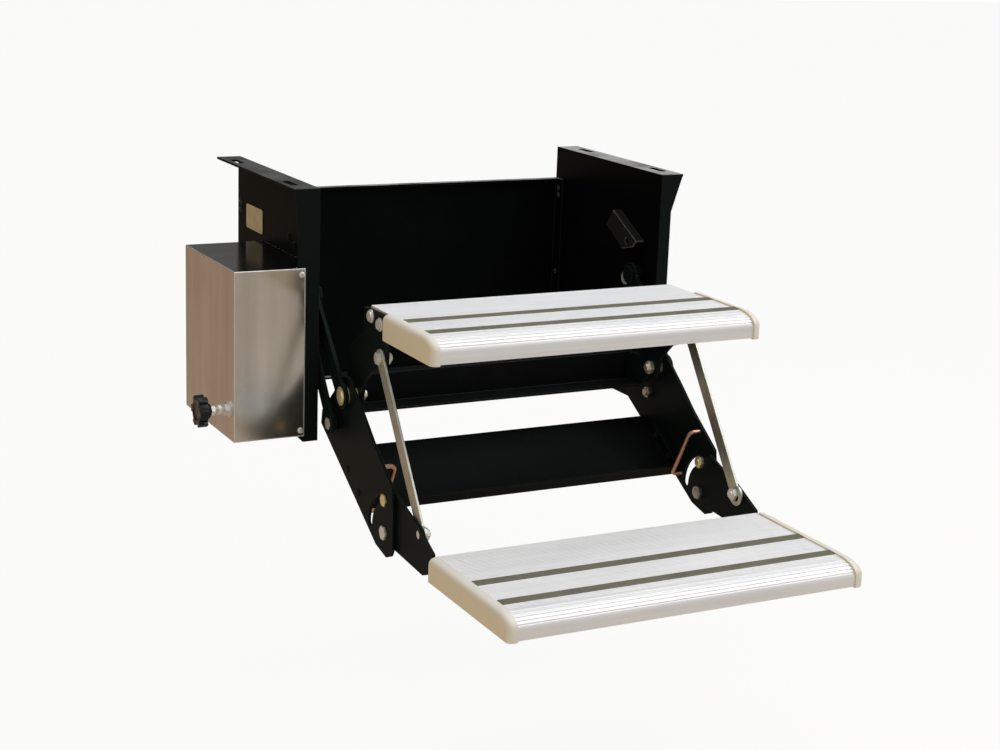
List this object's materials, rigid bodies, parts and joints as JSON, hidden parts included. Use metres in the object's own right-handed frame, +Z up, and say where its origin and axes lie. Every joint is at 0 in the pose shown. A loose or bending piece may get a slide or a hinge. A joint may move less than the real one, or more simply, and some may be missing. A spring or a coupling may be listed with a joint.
{
  "type": "caravan pull out step",
  "caption": "Folding double entrance step with ribbed aluminium treads on swinging arms, in a black sheet steel housing with a side-mounted electric drive under a stainless cover.",
  "frame": {"origin": "middle of the four floor slots, on top of the housing flanges", "axes": "+X out of the door towards the person stepping up, +Y to the right as seen from outside, +Z up"},
  "size_m": [0.7916, 0.672, 0.4145],
  "materials": {
    "black_coat": "semi-gloss black powder coat",
    "stainless": "polished stainless sheet",
    "zinc": "bright zinc plate",
    "yellow_zinc": "yellow passivated zinc",
    "cream_plastic": "off-white moulded plastic",
    "tread_alu": "natural anodised ribbed extrusion",
    "grip_rubber": "dark olive grey grip strip",
    "cast_alu": "cast gear case",
    "motor_black": "black motor can",
    "rubber": "black rubber",
    "label_alu": "blank metal plate",
    "bronze": "sintered bronze",
    "copper_rod": "coppery wire rod",
    "black_plastic": "black star knob"
  },
  "bodies": {
    "housing": {"left_side_plate": "black_coat", "right_side_plate": "black_coat", "back_panel": "black_coat", "panel_rivets": "black_coat", "tread_guide_left": "black_coat", "tread_guide_right": "black_coat", "guide_screws": "black_coat", "motor_cover": "stainless", "cover_screws": "zinc", "gearbox_housing": "cast_alu", "gearbox_screws": "zinc", "drive_motor": "motor_black", "limit_switch": "motor_black", "cable_grommet": "rubber", "blank_plate": "label_alu", "shaft_bushes": "bronze", "idler_pin": "black_coat", "guide_link_pins": "zinc", "rubber_buffers": "rubber", "release_nuts": "yellow_zinc"},
    "swing": {"output_shaft": "zinc", "shaft_nut": "black_coat", "crank_arm_left": "black_coat", "idler_arm_right": "black_coat"},
    "guide_links": {"guide_link_left": "black_coat", "guide_link_right": "black_coat"},
    "main_frame": {"main_arm_left": "black_coat", "main_arm_right": "black_coat", "lower_cross_member": "black_coat", "cross_member_screws": "black_coat", "stay_rods": "copper_rod", "pivot_bolts": "zinc", "pivot_washers": "yellow_zinc", "pivot_nuts": "cream_plastic", "guide_bolts": "zinc", "guide_washers": "black_coat", "lower_pivot_bolts": "zinc"},
    "upper_step": {"upper_tread": "tread_alu", "upper_grip_strips": "grip_rubber", "upper_cap_left": "cream_plastic", "upper_cap_right": "cream_plastic", "upper_bracket_left": "black_coat", "upper_bracket_right": "black_coat", "upper_cross_channel": "black_coat", "upper_tread_bolts": "zinc", "tie_top_bolts": "zinc"},
    "lower_step": {"lower_tread": "tread_alu", "lower_grip_strips": "grip_rubber", "lower_cap_left": "cream_plastic", "lower_cap_right": "cream_plastic", "lower_arm_left": "black_coat", "lower_arm_right": "black_coat", "lower_arm_bolts": "zinc", "stop_pins": "yellow_zinc", "tie_low_bolts": "zinc"},
    "tie_links": {"tie_link_left": "zinc", "tie_link_right": "zinc"},
    "release_screw": {"release_knob": "black_plastic", "release_stud": "zinc"},
    "release_collar": {"release_collar": "zinc"}
  },
  "joints": [
    {"name": "swing", "type": "hinge", "parent": "housing", "child": "swing", "pos_m": [0.0972, 0, -0.1426], "axis": [0, 1, 0], "range_deg": [0, 140]},
    {"name": "guide", "type": "hinge", "parent": "housing", "child": "guide_links", "pos_m": [0.0751, 0, -0.1519], "axis": [0, 1, 0], "range_deg": [0, 135]},
    {"name": "frame_turn", "type": "hinge", "parent": "swing", "child": "main_frame", "pos_m": [0.197, 0, -0.248], "axis": [0, 1, 0], "range_deg": [-80.01, 0]},
    {"name": "upper_level", "type": "hinge", "parent": "main_frame", "child": "upper_step", "pos_m": [0.197, 0, -0.248], "axis": [0, 1, 0], "range_deg": [-60.01, 0]},
    {"name": "lower_level", "type": "hinge", "parent": "main_frame", "child": "lower_step", "pos_m": [0.317, 0, -0.386], "axis": [0, 1, 0], "range_deg": [-60.01, 0]},
    {"name": "tie_turn", "type": "hinge", "parent": "upper_step", "child": "tie_links", "pos_m": [0.273, 0, -0.184], "axis": [0, 1, 0], "range_deg": [0, 49.31]},
    {"name": "release_turn", "type": "hinge", "parent": "housing", "child": "release_screw", "pos_m": [0.13, -0.36, -0.27], "axis": [0, 1, 0], "range_deg": [0, 720]},
    {"name": "release_slide", "type": "slide", "parent": "housing", "child": "release_collar", "axis": [0, 1, 0], "range_m": [0, 0.0061]}
  ],
  "couplings": [
    {"joint": "guide", "follows": "swing", "ratio": 0.96395},
    {"joint": "frame_turn", "follows": "swing", "ratio": -0.57143},
    {"joint": "upper_level", "follows": "swing", "ratio": -0.42857},
    {"joint": "lower_level", "follows": "swing", "ratio": -0.42857},
    {"joint": "tie_turn", "follows": "swing", "ratio": 0.35214},
    {"joint": "release_slide", "follows": "release_turn", "m_per_rad": 0.00047746}
  ]
}
